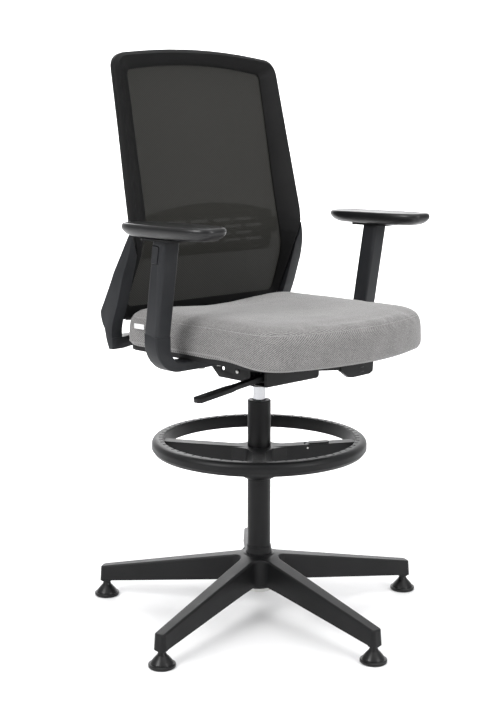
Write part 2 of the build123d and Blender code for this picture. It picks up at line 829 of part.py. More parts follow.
with BuildPart() as seat_plate:
    with BuildSketch(Plane.XY.offset(plate_bottom)) as plate_plan:
        with Locations((0, (plate_front + plate_rear) / 2)):
            RectangleRounded(2 * plate_half_width, plate_rear - plate_front, 12)
        with Locations(*screw_places):
            Circle(3, mode=Mode.SUBTRACT)
    extrude(amount=plate_thickness)
    for side in (-1, 1):
        with BuildSketch(Plane.YZ.offset(side * (housing_inner - 8))):
            with BuildLine():
                Polyline(
                    (seat_axle_y - 9, plate_bottom),
                    (seat_axle_y - 9, seat_axle_z - 4),
                    (seat_axle_y - 4, seat_axle_z - 9),
                    (seat_axle_y + 4, seat_axle_z - 9),
                    (seat_axle_y + 9, seat_axle_z - 4),
                    (seat_axle_y + 9, plate_bottom),
                    close=True,
                )
            make_face()
        extrude(amount=2.5, both=True)
    with BuildSketch(seat_axle):
        Circle(axle_radius + running)
    extrude(amount=housing_half_width, both=True, mode=Mode.SUBTRACT)
save(seat_plate, "seat_plate")

with BuildPart() as seat_screws:
    with BuildSketch(Plane.XY.offset(plate_bottom - 4)):
        with Locations(*screw_places):
            Circle(5.5)
    extrude(amount=4)
    with BuildSketch(Plane.XY.offset(plate_bottom)):
        with Locations(*screw_places):
            Circle(3)
    extrude(amount=plate_thickness + board_thickness - 1)
save(seat_screws, "seat_screws")

with BuildPart() as seat_tag:
    with BuildSketch(Plane.YZ.offset(-seat_half_width)):
        with Locations((92, seat_bottom + seat_thickness - 30)):
            Rectangle(30, 10)
    extrude(amount=-1)
save(seat_tag, "seat_tag")

# =================================================================================================
# Arms
# =================================================================================================
lean_sin = sin(radians(arm_lean))
lean_cos = cos(radians(arm_lean))
post_half = arm_section / 2 - sleeve_wall - slide_gap
bar_bottom = plate_top - bar_thickness
arm_outer = arm_centre_x + arm_section / 2
arm_inner = arm_centre_x - arm_section / 2


def post_plane(side, height=0):
    """Plane across the leaning post, a distance up it from the shoulder; local x is world X."""
    return Plane(
        origin=(side * arm_centre_x, arm_foot_y - height * lean_sin, arm_shoulder + height * lean_cos),
        x_dir=(1, 0, 0),
        z_dir=(0, -lean_sin, lean_cos),
    )


with BuildPart() as arm_bolts:
    with BuildSketch(Plane.XY.offset(bar_bottom - 5)):
        with Locations(*bolt_places):
            Circle(6.5)
    extrude(amount=5)
    with BuildSketch(Plane.XY.offset(bar_bottom)):
        with Locations(*bolt_places):
            Circle(4)
    extrude(amount=bar_thickness + board_thickness - 1)
save(arm_bolts, "arm_bolts")

for side, hand in ((1, "left"), (-1, "right")):
    with BuildPart() as bracket:
        with BuildSketch(Plane.XZ.offset(-arm_foot_y)) as elbow:
            with BuildLine():
                Polyline(
                    (side * bar_inner, bar_bottom),
                    (side * arm_outer, bar_bottom),
                    (side * arm_outer, arm_shoulder + 8),
                    (side * arm_inner, arm_shoulder + 8),
                    (side * arm_inner, plate_top),
                    (side * bar_inner, plate_top),
                    close=True,
                )
            make_face()
            outer_corner = elbow.vertices().sort_by(lambda v: abs(v.X) - v.Y)[-1:]
            fillet(outer_corner, arm_bend)
            inner_corner = elbow.vertices().sort_by(
                lambda v: hypot(abs(v.X) - arm_inner, v.Y - plate_top))[:1]
            fillet(inner_corner, arm_bend - bar_thickness - 12)
        extrude(amount=arm_section / 2, both=True)
        fillet(bracket.edges().filter_by(lambda e: e.center().Z < arm_shoulder - 12
                                         and abs(abs(e.center().Y - arm_foot_y) - arm_section / 2) < 1), 4)
        # the shoulder that the sleeve rests on
        split(bisect_by=post_plane(side), keep=Keep.BOTTOM)
        with BuildSketch(post_plane(side)):
            RectangleRounded(2 * post_half, 2 * post_half, 3)
        extrude(amount=post_length)
        with BuildSketch(Plane.XY.offset(bar_bottom)):
            with Locations(*[(side * x, arm_foot_y) for x in arm_bolts_x]):
                Circle(4)
        extrude(amount=bar_thickness, mode=Mode.SUBTRACT)
    save(bracket, f"arm_bracket_{hand}")

    with BuildPart() as sleeve:
        with BuildSketch(post_plane(side, slide_gap)):
            RectangleRounded(arm_section, arm_section, 6)
        extrude(amount=sleeve_length)
        with BuildSketch(post_plane(side, slide_gap)):
            RectangleRounded(2 * post_half + 2 * slide_gap, 2 * post_half + 2 * slide_gap, 3.3)
        extrude(amount=sleeve_length - 8, mode=Mode.SUBTRACT)
        # level top for the pad's plate
        pad_floor = arm_shoulder + (sleeve_length - 4) * lean_cos
        split(bisect_by=Plane.XY.offset(pad_floor), keep=Keep.BOTTOM)
        button_middle = post_plane(side, sleeve_length - button_height / 2 - 14)
        button_face = Plane(
            origin=button_middle.origin + Vector(side * arm_section / 2, 7.0, 0),
            x_dir=(0, lean_cos, lean_sin),
            z_dir=(side, 0, 0),
        )
        with BuildSketch(button_face):
            RectangleRounded(button_width + 2, button_height + 2, 2.5)
        extrude(amount=-sleeve_wall - 1, mode=Mode.SUBTRACT)
    save(sleeve, f"arm_sleeve_{hand}")

    with BuildPart() as button:
        with BuildSketch(button_face.offset(button_travel - sleeve_wall)):
            RectangleRounded(button_width, button_height, 2)
        extrude(amount=sleeve_wall)
        fillet(button.faces().sort_by(Axis.X)[-1 if side > 0 else 0].edges(), 0.8)
    save(button, f"arm_button_{hand}")

    top_y = arm_foot_y - (sleeve_length - 4) * lean_sin
    pad_centre = (side * (arm_centre_x + pad_offset_x), top_y + pad_offset_y)
    with BuildPart() as pad_plate:
        with BuildSketch(Plane.XY.offset(pad_floor)):
            with Locations((side * arm_centre_x, top_y)):
                RectangleRounded(58, 96, 12)
        extrude(amount=pad_plate_thickness)
    save(pad_plate, f"pad_plate_{hand}")

    with BuildPart() as pad:
        with BuildSketch(Plane.XY.offset(pad_floor + pad_plate_thickness)):
            with Locations(pad_centre):
                RectangleRounded(pad_width, pad_length, pad_corner)
        extrude(amount=pad_thickness)
        fillet(pad.edges().group_by(Axis.Z)[-1], 9)
        fillet(pad.edges().group_by(Axis.Z)[0], 12)
    save(pad, f"arm_pad_{hand}")

# =================================================================================================
# Back
# =================================================================================================
# Side view of the mesh: height above the seat's lower edge, and depth.
mesh_curve = ((40, 191), (66, 181.5), (102, 169.5), (142, 155.5), (182, 141.5), (222, 136), (262, 139),
              (322, 151), (442, 173), (562, 196), (610, 205))
# Half width of the mesh and of the frame, by height above the seat's lower edge.
mesh_widths = ((66, 215), (142, 214), (182, 210), (222, 199), (262, 193), (322, 192), (562, 190.5))
frame_widths = ((40, 234), (142, 234), (205, 234), (232, 246), (262, 248), (342, 244.5), (562, 234.5))
crease_lead = ((40, 8), (100, 15), (182, 24), (222, 29), (342, 28), (572, 22), (610, 22))
mesh_top = seat_bottom + 578
mesh_foot = seat_bottom + 79
frame_top = seat_bottom + 611
frame_foot = seat_bottom + 47
mesh_corner = 12.0
frame_corner = 34.0
back_crown = 13.0          # rise of the top edge from its corners to its middle


def slope(rows, i):
    """Slope of a table at a row, from the rows beside it."""
    (h0, v0), (h1, v1) = rows[max(i - 1, 0)], rows[min(i + 1, len(rows) - 1)]
    return (v1 - v0) / (h1 - h0)


def at(table, height):
    """Value of a table at a world height, on a smooth curve through its rows."""
    h = min(max(height - seat_bottom, table[0][0]), table[-1][0])
    i = max(k for k in range(len(table) - 1) if table[k][0] <= h)
    (h0, v0), (h1, v1) = table[i], table[i + 1]
    span = h1 - h0
    t = (h - h0) / span
    m0, m1 = slope(table, i) * span, slope(table, i + 1) * span
    return (v0 * (2 * t**3 - 3 * t**2 + 1) + m0 * (t**3 - 2 * t**2 + t)
            + v1 * (3 * t**2 - 2 * t**3) + m1 * (t**3 - t**2))


def frame_section(inner, outer):
    """Section of the frame between a point of its inner outline and one of its outer outline."""
    run = hypot(outer[0] - inner[0], outer[1] - inner[1])
    along = ((outer[0] - inner[0]) / run, (outer[1] - inner[1]) / run)
    y_mesh = at(mesh_curve, inner[1])
    y_crease = at(mesh_curve, outer[1]) - at(crease_lead, outer[1])
    across = (-along[1], 0, along[0])
    plane = Plane(origin=(inner[0], 0, inner[1]), x_dir=(along[0], 0, along[1]), z_dir=across)
    with BuildSketch(plane) as section:
        with BuildLine():
            Polyline(
                (0, y_mesh - 1.5),
                (run - bezel_setback, y_crease),
                (run, y_crease + bezel_setback),
                (run - 2, y_crease + bezel_depth),
                (2, y_mesh + mesh_ledge),
                close=True,
            )
        make_face()
    return section.sketch


def corner_pair(inner_xz, outer_xz, corner_in, corner_out, heading):
    """Matching points of the inner and outer outlines on a rounded corner."""
    u, w = cos(radians(heading)), sin(radians(heading))
    return (
        (inner_xz[0] + corner_in * u, inner_xz[1] + corner_in * w),
        (outer_xz[0] + corner_out * u, outer_xz[1] + corner_out * w),
    )


stations = [((x, mesh_foot), (x, frame_foot)) for x in (0, 75, 150)]
mesh_shoulder = mesh_top - back_crown - mesh_corner
frame_shoulder = frame_top - back_crown - frame_corner
low_in = (at(mesh_widths, mesh_foot + mesh_corner) - mesh_corner, mesh_foot + mesh_corner)
low_out = (at(frame_widths, frame_foot + frame_corner) - frame_corner, frame_foot + frame_corner)
high_in = (at(mesh_widths, mesh_shoulder) - mesh_corner, mesh_shoulder)
high_out = (at(frame_widths, frame_shoulder) - frame_corner, frame_shoulder)
crown_heading = 90 - degrees(atan(2 * back_crown / high_in[0]))
corner_steps = 6
side_steps = 18
crown_steps = 5
for i in range(corner_steps + 1):
    stations.append(corner_pair(low_in, low_out, mesh_corner, frame_corner, -90 + 90 * i / corner_steps))
for i in range(1, side_steps):
    z_in = low_in[1] + (high_in[1] - low_in[1]) * i / side_steps
    z_out = low_out[1] + (high_out[1] - low_out[1]) * i / side_steps
    stations.append(((at(mesh_widths, z_in), z_in), (at(frame_widths, z_out), z_out)))
for i in range(corner_steps + 1):
    heading = crown_heading * i / corner_steps
    stations.append(corner_pair(high_in, high_out, mesh_corner, frame_corner, heading))
for i in range(crown_steps - 1, -1, -1):
    share = i / crown_steps
    stations.append((
        (high_in[0] * share, mesh_top - back_crown * share**2),
        (high_out[0] * share, frame_top - back_crown * share**2),
    ))

with BuildPart() as half_frame:
    for inner, outer in stations:
        add(frame_section(inner, outer))
    loft(ruled=True)

with BuildPart() as back_frame:
    add(half_frame.part)
    mirror(about=Plane.YZ)
save(back_frame, "back_frame")


def sheet_outline(thickness, low, high):
    """Side view of a sheet that follows the mesh's curve, between two heights, as closed points."""
    steps = 24
    heights = [low + (high - low) * i / steps for i in range(steps + 1)]
    front = [(at(mesh_curve, z), z) for z in heights]
    return front + [(y + thickness, z) for y, z in reversed(front)]


def mesh_outline(grow):
    """Front view of the right half of the mesh, grown past its visible edge, as closed points."""
    points = [(0, mesh_foot - grow), (low_in[0], mesh_foot - grow)]
    for i in range(1, corner_steps + 1):
        a = radians(-90 + 90 * i / corner_steps)
        reach = mesh_corner + grow
        points.append((low_in[0] + reach * cos(a), low_in[1] + reach * sin(a)))
    for i in range(1, side_steps):
        z = low_in[1] + (high_in[1] - low_in[1]) * i / side_steps
        points.append((at(mesh_widths, z) + grow, z))
    for i in range(corner_steps + 1):
        a = radians(crown_heading * i / corner_steps)
        reach = mesh_corner + grow
        points.append((high_in[0] + reach * cos(a), high_in[1] + reach * sin(a)))
    for i in range(crown_steps - 1, -1, -1):
        share = i / crown_steps
        points.append((high_in[0] * share, mesh_top - back_crown * share**2 + grow))
    return points


with BuildPart() as back_mesh:
    with BuildSketch(Plane.YZ):
        with BuildLine():
            side_view = sheet_outline(mesh_thickness, mesh_foot - mesh_grip, mesh_top + mesh_grip)
            Polyline(*side_view, close=True)
        make_face()
    extrude(amount=250, both=True)
    with BuildSketch(Plane.XZ):
        with BuildLine():
            Polyline(*mesh_outline(mesh_grip))
            mirror(about=Plane.YZ)
        make_face()
    extrude(amount=400, both=True, mode=Mode.INTERSECT)
save(back_mesh, "back_mesh")

# ---- lumbar support: a slotted plate behind the mesh, clear of it over its slide -----------------
lumbar_low = 177.0
lumbar_high = 287.0
lumbar_front = ((177, 157), (202, 149), (222, 146), (262, 149), (287, 154))
with BuildPart() as lumbar_support:
    with BuildSketch(Plane.YZ):
        with BuildLine():
            front = [(y, seat_bottom + h) for h, y in lumbar_front]
            rear = [(y + lumbar_thickness, z) for y, z in reversed(front)]
            Polyline(*front, *rear, close=True)
        make_face()
    extrude(amount=lumbar_half_width, both=True)
    with BuildSketch(Plane.XZ):
        with BuildLine():
            Polyline(
                (-lumbar_half_width, seat_bottom + lumbar_high - 22),
                (-lumbar_half_width, seat_bottom + lumbar_low),
                (lumbar_half_width, seat_bottom + lumbar_low),
                (lumbar_half_width, seat_bottom + lumbar_high - 22),
            )
            ThreePointArc(
                (lumbar_half_width, seat_bottom + lumbar_high - 22),
                (0, seat_bottom + lumbar_high),
                (-lumbar_half_width, seat_bottom + lumbar_high - 22),
            )
        make_face()
        row_pitch = 15.0
        slot_pitch = 2 * (lumbar_half_width - 22) / lumbar_slots
        for row in range(lumbar_rows):
            shift = slot_pitch / 2 if row % 2 else 0
            z = seat_bottom + lumbar_low + 27 + row_pitch * row
            for k in range(lumbar_slots - row % 2):
                x = -lumbar_half_width + 22 + slot_pitch * (k + 0.5) + shift
                with Locations((x, z)):
                    SlotOverall(slot_pitch - 12, 7, mode=Mode.SUBTRACT)
    extrude(amount=400, both=True, mode=Mode.INTERSECT)
    # ears that run behind the frame's side rails
    for side in (-1, 1):
        with BuildSketch(Plane.XZ.offset(-151)):
            with Locations((side * (lumbar_half_width + 8), seat_bottom + 232)):
                Rectangle(24, 34)
        extrude(amount=-4)
save(lumbar_support, "lumbar_support")

# ---- carrier: two side arms, a yoke under the seat and the hinge lug ------------------------------
with BuildPart() as back_carrier:
    for side in (-1, 1):
        with BuildSketch(Plane.YZ.offset(side * (carrier_inner + carrier_width / 2))) as arm_side:
            with BuildLine():
                Spline(
                    (116, seat_bottom + 236),
                    (118, seat_bottom + 190),
                    (134, seat_bottom + 139),
                    (151, seat_bottom + 88),
                    (169, seat_bottom + 40),
                    (170, seat_bottom + 14),
                )
                Polyline(
                    (170, seat_bottom + 14),
                    (168, crossbar_bottom),
                    (180, crossbar_bottom),
                    (188, seat_bottom + 12),
                    (194, seat_bottom + 36),
                )
                ThreePointArc((194, seat_bottom + 36), (203, seat_bottom + 52), (206, seat_bottom + 72))
                Spline(
                    (206, seat_bottom + 72),
                    (168, seat_bottom + 140),
                    (141, seat_bottom + 195),
                    (122, seat_bottom + 236),
                )
                Line((122, seat_bottom + 236), (116, seat_bottom + 236))
            make_face()
        extrude(amount=carrier_width / 2, both=True)
    # the arms taper to the frame's edge at their tips
    for side in (-1, 1):
        with BuildSketch(Plane.XZ):
            with BuildLine():
                Polyline(
                    (side * (carrier_inner + carrier_width + 5), seat_bottom + 120),
                    (side * (carrier_inner + carrier_width - 2), seat_bottom + 170),
                    (side * (carrier_inner + 16), seat_bottom + 237),
                    (side * (carrier_inner + carrier_width + 5), seat_bottom + 237),
                    close=True,
                )
            make_face()
        extrude(amount=400, both=True, mode=Mode.SUBTRACT)
        with BuildSketch(Plane.XZ):
            with BuildLine():
                Polyline(
                    (side * (carrier_inner - 5), seat_bottom + 190),
                    (side * carrier_inner, seat_bottom + 190),
                    (side * (carrier_inner + 14.5), seat_bottom + 228),
                    (side * (carrier_inner + 14.5), seat_bottom + 240),
                    (side * (carrier_inner - 5), seat_bottom + 240),
                    close=True,
                )
            make_face()
        extrude(amount=400, both=True, mode=Mode.SUBTRACT)
    # crossbar behind the seat
    with BuildSketch(Plane.XY.offset(crossbar_bottom)):
        with BuildLine():
            Polyline(
                (0, crossbar_front),
                (carrier_inner - 44, crossbar_front),
                (carrier_inner, 168),
                (carrier_inner + carrier_width, 168),
                (carrier_inner + carrier_width, 178),
                (carrier_inner + carrier_width - 10, 190),
                (carrier_inner - 30, crossbar_front + crossbar_depth),
                (0, crossbar_front + crossbar_depth),
            )
            mirror(about=Plane.YZ)
        make_face()
    extrude(amount=crossbar_height)
    # tongue from the crossbar, under the seat, to the recline axle
    with BuildSketch(Plane.YZ):
        with BuildLine():
            Polyline(
                (recline_axle_y - 12, recline_axle_z - 10),
                (124, yoke_top - yoke_thickness),
                (crossbar_front + 2, yoke_top - yoke_thickness + 6),
                (crossbar_front + crossbar_depth, crossbar_bottom + 2),
                (crossbar_front + crossbar_depth, crossbar_bottom + crossbar_height),
                (crossbar_front, crossbar_bottom + crossbar_height),
                (crossbar_front, yoke_top),
                (124, yoke_top),
                (recline_axle_y + 24, recline_axle_z + 17),
                (recline_axle_y - 12, recline_axle_z + 10),
                close=True,
            )
        make_face()
    extrude(amount=lug_half_width, both=True)
    with BuildSketch(recline_axle_plane):
        Circle(axle_radius + running)
    extrude(amount=housing_half_width, both=True, mode=Mode.SUBTRACT)
save(back_carrier, "back_carrier")
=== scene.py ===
"""Drafting chair: the looks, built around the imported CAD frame. Metres, +Z up, the sitter faces -Y."""
import json
import math

import bmesh
import bpy
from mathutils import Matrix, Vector
from mathutils.bvhtree import BVHTree


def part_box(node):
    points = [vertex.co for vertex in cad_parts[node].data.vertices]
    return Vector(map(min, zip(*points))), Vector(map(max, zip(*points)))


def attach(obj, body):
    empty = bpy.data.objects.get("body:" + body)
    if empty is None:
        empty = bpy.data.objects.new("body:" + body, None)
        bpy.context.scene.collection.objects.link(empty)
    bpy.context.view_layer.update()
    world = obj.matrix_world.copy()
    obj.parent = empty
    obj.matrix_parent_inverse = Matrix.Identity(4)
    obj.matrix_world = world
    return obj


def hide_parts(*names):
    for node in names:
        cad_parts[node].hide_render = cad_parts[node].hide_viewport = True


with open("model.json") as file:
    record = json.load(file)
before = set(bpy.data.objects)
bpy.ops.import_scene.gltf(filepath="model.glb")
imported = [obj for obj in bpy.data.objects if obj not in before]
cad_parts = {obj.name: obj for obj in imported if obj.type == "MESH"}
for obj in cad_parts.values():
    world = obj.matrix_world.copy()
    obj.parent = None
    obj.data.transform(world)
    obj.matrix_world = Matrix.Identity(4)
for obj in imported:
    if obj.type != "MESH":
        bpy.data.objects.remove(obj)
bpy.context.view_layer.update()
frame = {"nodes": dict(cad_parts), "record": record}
nodes = frame["nodes"]
MM = 0.001

# ---- camera: the view's azimuth about the column, its distance and its height ------------------------
CAMERA_AZIMUTH = math.radians(-45)
CAMERA_DISTANCE = 2.5988
CAMERA_HEIGHT = 1.0311
CAMERA_PITCH = 0.1797
CAMERA_TURN = -0.0146
CAMERA_LENS = 62.12


# =====================================================================================================
# Helpers
# =====================================================================================================
def new_object(name, mesh, smooth=True):
    """Link a mesh as an object, smooth shaded unless told otherwise."""
    obj = bpy.data.objects.new(name, mesh)
    bpy.context.scene.collection.objects.link(obj)
    for face in mesh.polygons:
        face.use_smooth = smooth
    return obj


def mesh_from(name, verts, faces):
    mesh = bpy.data.meshes.new(name)
    mesh.from_pydata([tuple(v) for v in verts], [], faces)
    mesh.update()
    bm = bmesh.new()
    bm.from_mesh(mesh)
    bmesh.ops.recalc_face_normals(bm, faces=bm.faces)
    bm.to_mesh(mesh)
    bm.free()
    return mesh


def apply_modifiers(obj):
    """Turn the modifiers of an object into its mesh."""
    graph = bpy.context.evaluated_depsgraph_get()
    mesh = bpy.data.meshes.new_from_object(obj.evaluated_get(graph))
    obj.modifiers.clear()
    obj.data = mesh


def give(obj, material):
    obj.data.materials.clear()
    obj.data.materials.append(material)


def finish_piece(obj, body, material, replaced=()):
    """Gives a new piece its material and body, and hides the CAD nodes that it stands for."""
    give(obj, material)
    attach(obj, body)
    if replaced:
        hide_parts(*replaced)


def loops_mesh(name, loops, caps=True):
    """A surface through closed loops of equal length."""
    n = len(loops[0])
    verts = [p for loop in loops for p in loop]
    faces = []
    for k in range(len(loops) - 1):
        for i in range(n):
            j = (i + 1) % n
            faces.append((k * n + i, k * n + j, (k + 1) * n + j, (k + 1) * n + i))
    if caps:
        faces.append(tuple(range(n)))
        faces.append(tuple((len(loops) - 1) * n + i for i in range(n)))
    return mesh_from(name, verts, faces)


def tube(name, points, radius, sides=8, closed=True):
    """A round tube along points, closed into a ring or capped at its ends."""
    curve = bpy.data.curves.new(name, "CURVE")
    curve.dimensions = "3D"
    spline = curve.splines.new("POLY")
    spline.points.add(len(points) - 1)
    for p, q in zip(spline.points, points):
        p.co = (*q, 1)
    spline.use_cyclic_u = closed
    curve.bevel_depth = radius
    curve.bevel_resolution = sides // 4
    curve.use_fill_caps = not closed
    holder = bpy.data.objects.new(name, curve)
    bpy.context.scene.collection.objects.link(holder)
    mesh = bpy.data.meshes.new_from_object(holder.evaluated_get(bpy.context.evaluated_depsgraph_get()))
    bpy.data.objects.remove(holder)
    return new_object(name, mesh)


def node_points(name):
    return [v.co.copy() for v in nodes[name].data.vertices]


def hull_outline(points, count):
    """Convex outline of points seen from above, at even steps along it, from the rear middle."""
    flat = sorted({(round(p.x, 5), round(p.y, 5)) for p in points})

    def half(seq):
        out = []
        for p in seq:
            while len(out) > 1 and ((out[-1][0] - out[-2][0]) * (p[1] - out[-2][1])
                                    - (out[-1][1] - out[-2][1]) * (p[0] - out[-2][0])) <= 0:
                out.pop()
            out.append(p)
        return out

    ring = half(flat)[:-1] + half(flat[::-1])[:-1]
    lengths = [math.dist(ring[i], ring[(i + 1) % len(ring)]) for i in range(len(ring))]
    total = sum(lengths)
    out = []
    i, walked = 0, 0.0
    for k in range(count):
        target = total * k / count
        while walked + lengths[i] < target:
            walked += lengths[i]
            i += 1
        t = (target - walked) / lengths[i]
        a, b = ring[i], ring[(i + 1) % len(ring)]
        out.append(Vector((a[0] + (b[0] - a[0]) * t, a[1] + (b[1] - a[1]) * t, 0)))
    return out


def inset_ring(ring, inset):
    """A closed outline moved inwards."""
    out = []
    n = len(ring)
    for i, p in enumerate(ring):
        along = (ring[(i + 1) % n] - ring[i - 1]).normalized()
        out.append(p + Vector((-along.y, along.x, 0)) * inset)
    return out


# =====================================================================================================
# Materials
# =====================================================================================================
class Shader:
    """A principled material whose textures use object coordinates in metres."""

    def __init__(self, name, color, roughness, metallic=0.0, specular=0.5, sheen=0.0, coat=0.0):
        self.material = bpy.data.materials.new(name)
        self.material.use_nodes = True
        self.tree = self.material.node_tree
        self.shader = self.tree.nodes["Principled BSDF"]
        self.shader.inputs["Base Color"].default_value = (*color, 1)
        self.shader.inputs["Roughness"].default_value = roughness
        self.shader.inputs["Metallic"].default_value = metallic
        self.shader.inputs["Specular IOR Level"].default_value = specular
        self.shader.inputs["Sheen Weight"].default_value = sheen
        self.shader.inputs["Sheen Roughness"].default_value = 0.4
        self.shader.inputs["Coat Weight"].default_value = coat
        self.shader.inputs["Coat Roughness"].default_value = 0.15
        self.height = None
        self.coords = self.tree.nodes.new("ShaderNodeTexCoord").outputs["Object"]

    def add(self, kind, **inputs):
        node = self.tree.nodes.new(kind)
        for key, value in inputs.items():
            socket = node.inputs[key.replace("_", " ")] if key.replace("_", " ") in node.inputs else None
            if socket is None:
                setattr(node, key, value)
            elif isinstance(value, bpy.types.NodeSocket):
                self.tree.links.new(value, socket)
            else:
                socket.default_value = value
        return node

    def noise(self, scale, detail=3.0, vector=None):
        node = self.add("ShaderNodeTexNoise", Vector=vector or self.coords, Scale=scale, Detail=detail)
        return node.outputs["Fac"]

    def mapped(self, scale=(1, 1, 1), rotation=(0, 0, 0)):
        node = self.add("ShaderNodeMapping", Vector=self.coords, Scale=scale, Rotation=rotation)
        return node.outputs["Vector"]

    def stripes(self, direction, pitch, distortion=0.0):
        """A sine along a direction, from 0 to 1, with a pitch in metres."""
        dot = self.tree.nodes.new("ShaderNodeVectorMath")
        dot.operation = "DOT_PRODUCT"
        self.tree.links.new(self.coords, dot.inputs[0])
        unit = Vector(direction).normalized()
        dot.inputs[1].default_value = unit * (2 * math.pi / pitch)
        value = dot.outputs["Value"]
        if distortion:
            wobble = self.noise(400.0, 1.0)
            value = self.math("MULTIPLY_ADD", wobble, distortion, value)
        sine = self.math("SINE", value)
        return self.math("MULTIPLY_ADD", sine, 0.5, 0.5)

    def waves(self, name, pitch, distortion=0.0):
        """A sine over a length that each point carries, from 0 to 1, with a pitch in metres."""
        node = self.tree.nodes.new("ShaderNodeAttribute")
        node.attribute_name = name
        value = self.math("MULTIPLY", node.outputs["Fac"], 2 * math.pi / pitch)
        if distortion:
            value = self.math("MULTIPLY_ADD", self.noise(400.0, 1.0), distortion, value)
        return self.math("MULTIPLY_ADD", self.math("SINE", value), 0.5, 0.5)

    def math(self, operation, *values):
        node = self.tree.nodes.new("ShaderNodeMath")
        node.operation = operation
        for socket, value in zip(node.inputs, values):
            if isinstance(value, bpy.types.NodeSocket):
                self.tree.links.new(value, socket)
            else:
                socket.default_value = value
        return node.outputs[0]

    def ramp(self, factor, low, high, start=0.0, end=1.0):
        """A colour between two, by a factor."""
        node = self.tree.nodes.new("ShaderNodeValToRGB")
        node.color_ramp.elements[0].position = start
        node.color_ramp.elements[1].position = end
        node.color_ramp.elements[0].color = (*low, 1)
        node.color_ramp.elements[1].color = (*high, 1)
        self.tree.links.new(factor, node.inputs["Fac"])
        return node.outputs["Color"]

    def color(self, socket):
        self.tree.links.new(socket, self.shader.inputs["Base Color"])

    def roughness(self, factor, low, high):
        node = self.tree.nodes.new("ShaderNodeMapRange")
        self.tree.links.new(factor, node.inputs["Value"])
        node.inputs["To Min"].default_value = low
        node.inputs["To Max"].default_value = high
        self.tree.links.new(node.outputs["Result"], self.shader.inputs["Roughness"])

    def bump(self, height, distance, strength=1.0):
        """Adds a bump of a real height in metres over those already there."""
        node = self.tree.nodes.new("ShaderNodeBump")
        node.inputs["Distance"].default_value = distance
        node.inputs["Strength"].default_value = strength
        self.tree.links.new(height, node.inputs["Height"])
        if self.height:
            self.tree.links.new(self.height, node.inputs["Normal"])
        self.height = node.outputs["Normal"]
        self.tree.links.new(self.height, self.shader.inputs["Normal"])


def moulded(name, color, roughness, grain=0.06 * MM, specular=0.45):
    """Injection-moulded plastic: a fine spark-eroded grain, faint flow marks and rubbed patches."""
    m = Shader(name, color, roughness, specular=specular)
    lighter = [c * 1.35 + 0.002 for c in color]
    m.color(m.ramp(m.noise(9.0, 4.0), color, lighter, 0.35, 0.75))
    m.roughness(m.noise(22.0, 5.0), roughness - 0.07, roughness + 0.09)
    m.bump(m.noise(2600.0, 2.0), grain, 0.5)
    m.bump(m.noise(60.0, 3.0), 0.05 * MM, 0.25)
    return m.material


def metal(name, color, roughness, brushed=(1, 1, 1), coat=0.0):
    """Bare metal with fine marks drawn out along one axis."""
    m = Shader(name, color, roughness, metallic=1.0, coat=coat)
    marks = m.noise(300.0, 4.0, m.mapped(brushed))
    m.roughness(marks, roughness * 0.7, roughness * 1.5)
    darker = [c * 0.86 for c in color]
    m.color(m.ramp(m.noise(14.0, 3.0), darker, color, 0.3, 0.6))
    m.bump(marks, 0.01 * MM, 0.3)
    return m.material


def powder_coat(name, color):
    m = Shader(name, color, 0.42, specular=0.22)
    m.color(m.ramp(m.noise(30.0, 3.0), color, [c * 1.3 for c in color], 0.3, 0.8))
    m.roughness(m.noise(45.0, 3.0), 0.34, 0.5)
    m.bump(m.noise(900.0, 3.0), 0.05 * MM, 0.6)
    return m.material


def seat_cloth(name, light, dark):
    """Woven upholstery: a diagonal twill of two yarns, mottled fibres and a soft nap."""
    m = Shader(name, light, 0.92, specular=0.15, sheen=0.35)
    warp = m.waves("weave_warp", 4.2 * MM, 1.8)
    weft = m.waves("weave_weft", 2.6 * MM, 1.4)
    weave = m.math("MULTIPLY", warp, m.math("MULTIPLY_ADD", weft, 0.55, 0.45))
    mottle = m.noise(420.0, 4.0)
    patch = m.noise(26.0, 3.0)
    fibres = m.math("MULTIPLY_ADD", mottle, 0.62, m.math("MULTIPLY", patch, 0.16))
    shade = m.math("MULTIPLY_ADD", weave, 0.5, fibres)
    m.color(m.ramp(shade, dark, light, 0.34, 0.9))
    m.bump(weave, 0.35 * MM, 0.55)
    m.bump(mottle, 0.25 * MM, 0.4)
    return m.material


def back_net(name, color, thread):
    """Stretch mesh: a fine slanting net of threads with see-through holes between."""
    m = Shader(name, color, 0.75, specular=0.25, sheen=0.15)
    first = m.stripes((1, 0.2, 1.5), 3.4 * MM, 0.6)
    second = m.stripes((1.4, 0.2, -1), 2.1 * MM, 0.4)
    net = m.math("MAXIMUM", m.math("POWER", first, 0.8), m.math("POWER", second, 1.2))
    m.color(m.ramp(first, color, thread, 0.2, 0.95))
    cover = m.math("MULTIPLY_ADD", net, 0.022, 0.979)
    m.tree.links.new(m.math("MINIMUM", cover, 1.0), m.shader.inputs["Alpha"])
    m.bump(net, 0.2 * MM, 0.6)
    return m.material


def skin(name, color):
    """Moulded polyurethane skin: low leather-like pebble under a soft gloss."""
    m = Shader(name, color, 0.3, specular=0.35, coat=0.06)
    m.color(m.ramp(m.noise(12.0, 3.0), color, [c * 1.5 for c in color], 0.3, 0.8))
    m.roughness(m.noise(18.0, 4.0), 0.26, 0.42)
    cells = m.add("ShaderNodeTexVoronoi", Vector=m.coords, Scale=1100.0).outputs["Distance"]
    m.bump(cells, 0.05 * MM, 0.5)
    return m.material


def plain_weave(name, color):
    m = Shader(name, color, 0.8, specular=0.2, sheen=0.2)
    weave = m.math("MULTIPLY", m.stripes((0, 1, 0), 0.8 * MM), m.stripes((0, 0, 1), 0.8 * MM))
    m.color(m.ramp(weave, [c * 0.88 for c in color], color))
    m.bump(weave, 0.1 * MM, 0.5)
    return m.material


